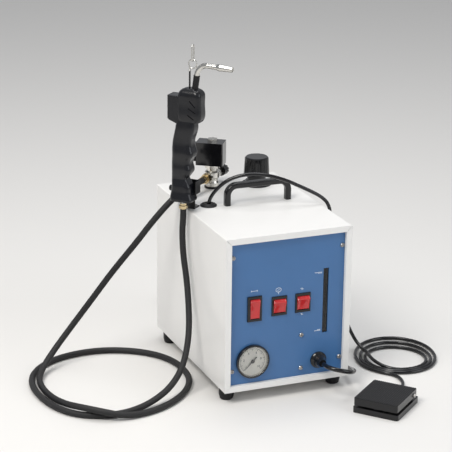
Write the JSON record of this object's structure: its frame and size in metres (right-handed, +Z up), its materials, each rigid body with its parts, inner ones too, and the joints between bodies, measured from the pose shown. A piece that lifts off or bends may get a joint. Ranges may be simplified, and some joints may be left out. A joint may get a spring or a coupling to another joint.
{
  "type": "jewelry steam cleaner",
  "caption": "Bench-top steam cleaner for jewelry: a sheet-metal cabinet with a boiler, rocker switches, gauge, steam gun on a hose, carrying handle and foot pedal.",
  "frame": {"origin": "on the floor under the middle of the cabinet", "axes": "+Z up; the front panel faces -Y; +X is to the right of a person who faces the front"},
  "size_m": [0.673, 0.6024, 0.5396],
  "materials": {
    "white_paint": "satin",
    "blue_paint": "satin",
    "screw_steel": "bright",
    "black_rubber": "matt",
    "black_plastic": "satin",
    "grip_plastic": "fine grain",
    "coil_plastic": "gloss",
    "red_plastic": "gloss",
    "tank_steel": "satin",
    "element_steel": "satin",
    "brass": "machined",
    "nickel": "cast and plated",
    "chrome": "polished",
    "clear_glass": "clear",
    "dial_paint": "matt",
    "pointer_paint": "matt",
    "gauge_black": "satin",
    "bracket_black": "satin",
    "hose_rubber": "woven cover",
    "cord_plastic": "gloss",
    "tie_plastic": "gloss",
    "spring_steel": "bright"
  },
  "bodies": {
    "root": {"case_cover": "white_paint", "base_tray": "white_paint", "rear_panel": "white_paint", "front_panel": "blue_paint", "case_screws": "screw_steel", "case_feet": "black_rubber", "carry_handle": "black_plastic", "cord_grommet": "black_rubber", "filler_ring": "chrome", "boiler_tank": "tank_steel", "heating_element": "element_steel", "pressure_switch": "black_plastic", "boiler_pipes": "brass", "sight_tube": "clear_glass", "sight_fittings": "brass", "level_window": "clear_glass", "gauge_case": "gauge_black", "gauge_dial": "dial_paint", "gauge_lens": "clear_glass", "mains_switch_housing": "black_plastic", "heater_switch_housing": "black_plastic", "steam_switch_housing": "black_plastic", "cord_gland": "black_plastic", "mains_cord": "cord_plastic", "mains_cord_coil": "cord_plastic", "cord_tie": "tie_plastic", "mains_plug": "cord_plastic", "valve_body": "nickel", "valve_gasket": "black_rubber", "valve_coil": "coil_plastic", "coil_nut": "nickel", "valve_plug": "coil_plastic", "hose_fitting": "brass", "steam_hose": "hose_rubber", "hose_nut": "brass", "handle_shell_left": "grip_plastic", "handle_shell_right": "grip_plastic", "neck_sleeve": "black_rubber", "steam_lance": "chrome", "nozzle_tip": "chrome", "hanger_rod": "gauge_black", "hanger_ring": "chrome", "holder_bracket": "bracket_black", "pedal_base": "black_plastic", "pedal_pin": "screw_steel", "pedal_spring": "spring_steel", "pedal_switch": "coil_plastic", "pedal_cord": "cord_plastic", "pedal_cord_coil": "cord_plastic"},
    "mains_rocker": {"mains_switch_rocker": "red_plastic"},
    "heater_rocker": {"heater_switch_rocker": "red_plastic"},
    "steam_rocker": {"steam_switch_rocker": "red_plastic"},
    "stopper": {"cap_plug": "brass"},
    "cap": {"boiler_cap": "black_plastic"},
    "valve_knob": {"flow_knob": "black_plastic"},
    "plunger": {"valve_plunger": "tank_steel"},
    "pointer": {"gauge_pointer": "pointer_paint"},
    "treadle": {"pedal_plate": "grip_plastic"},
    "thumbscrew": {"holder_thumbscrew": "black_plastic"},
    "link": {"hanger_hook": "chrome"}
  },
  "joints": [
    {"name": "mains_rocker_tilt", "type": "hinge", "parent": "root", "child": "mains_rocker", "pos_m": [-0.0552, -0.1456, 0.1519], "axis": [1, 0, 0], "range_deg": [-11.3, 0]},
    {"name": "heater_rocker_tilt", "type": "hinge", "parent": "root", "child": "heater_rocker", "pos_m": [-0.0137, -0.1444, 0.1515], "axis": [1, 0, 0], "range_deg": [-28.6, 0]},
    {"name": "steam_rocker_tilt", "type": "hinge", "parent": "root", "child": "steam_rocker", "pos_m": [0.026, -0.1444, 0.1519], "axis": [1, 0, 0], "range_deg": [-28.6, 0]},
    {"name": "cap_lift", "type": "slide", "parent": "root", "child": "stopper", "axis": [0, 0, 1], "range_m": [0, 0.0072]},
    {"name": "cap_turn", "type": "hinge", "parent": "stopper", "child": "cap", "pos_m": [0.0499, 0.0997, 0.29], "axis": [0, 0, 1], "range_deg": [0, 1440]},
    {"name": "flow_knob_turn", "type": "hinge", "parent": "root", "child": "valve_knob", "pos_m": [-0.0257, 0.107, 0.29], "axis": [0.766, 0.6428, 0], "range_deg": [0, 720]},
    {"name": "plunger_lift", "type": "slide", "parent": "root", "child": "plunger", "axis": [0, 0, 1], "range_m": [0, 0.003], "stiffness_N_per_m": 200, "springref_m": -0.003},
    {"name": "pointer_turn", "type": "hinge", "parent": "root", "child": "pointer", "pos_m": [-0.0572, -0.1465, 0.0659], "axis": [0, 1, 0], "range_deg": [0, 270], "stiffness_Nm_per_rad": 0.0005, "springref_deg": -17.19},
    {"name": "treadle_press", "type": "hinge", "parent": "root", "child": "treadle", "pos_m": [0.14587, -0.2271, 0.017], "axis": [0.6561, -0.7547, 0], "range_deg": [0, 3], "stiffness_Nm_per_rad": 6, "springref_deg": -2.86, "deforming": ["pedal_spring"]},
    {"name": "thumbscrew_turn", "type": "hinge", "parent": "root", "child": "thumbscrew", "pos_m": [-0.12238, 0.02354, 0.303], "axis": [-0.682, 0.7314, 0], "range_deg": [0, 720]},
    {"name": "link_swing", "type": "hinge", "parent": "root", "child": "link", "pos_m": [-0.10463, -0.00722, 0.51655], "axis": [0.682, -0.7314, 0], "range_deg": [-60, 60]}
  ],
  "couplings": [
    {"joint": "cap_turn", "follows": "cap_lift", "rad_per_m": 3490.7}
  ]
}
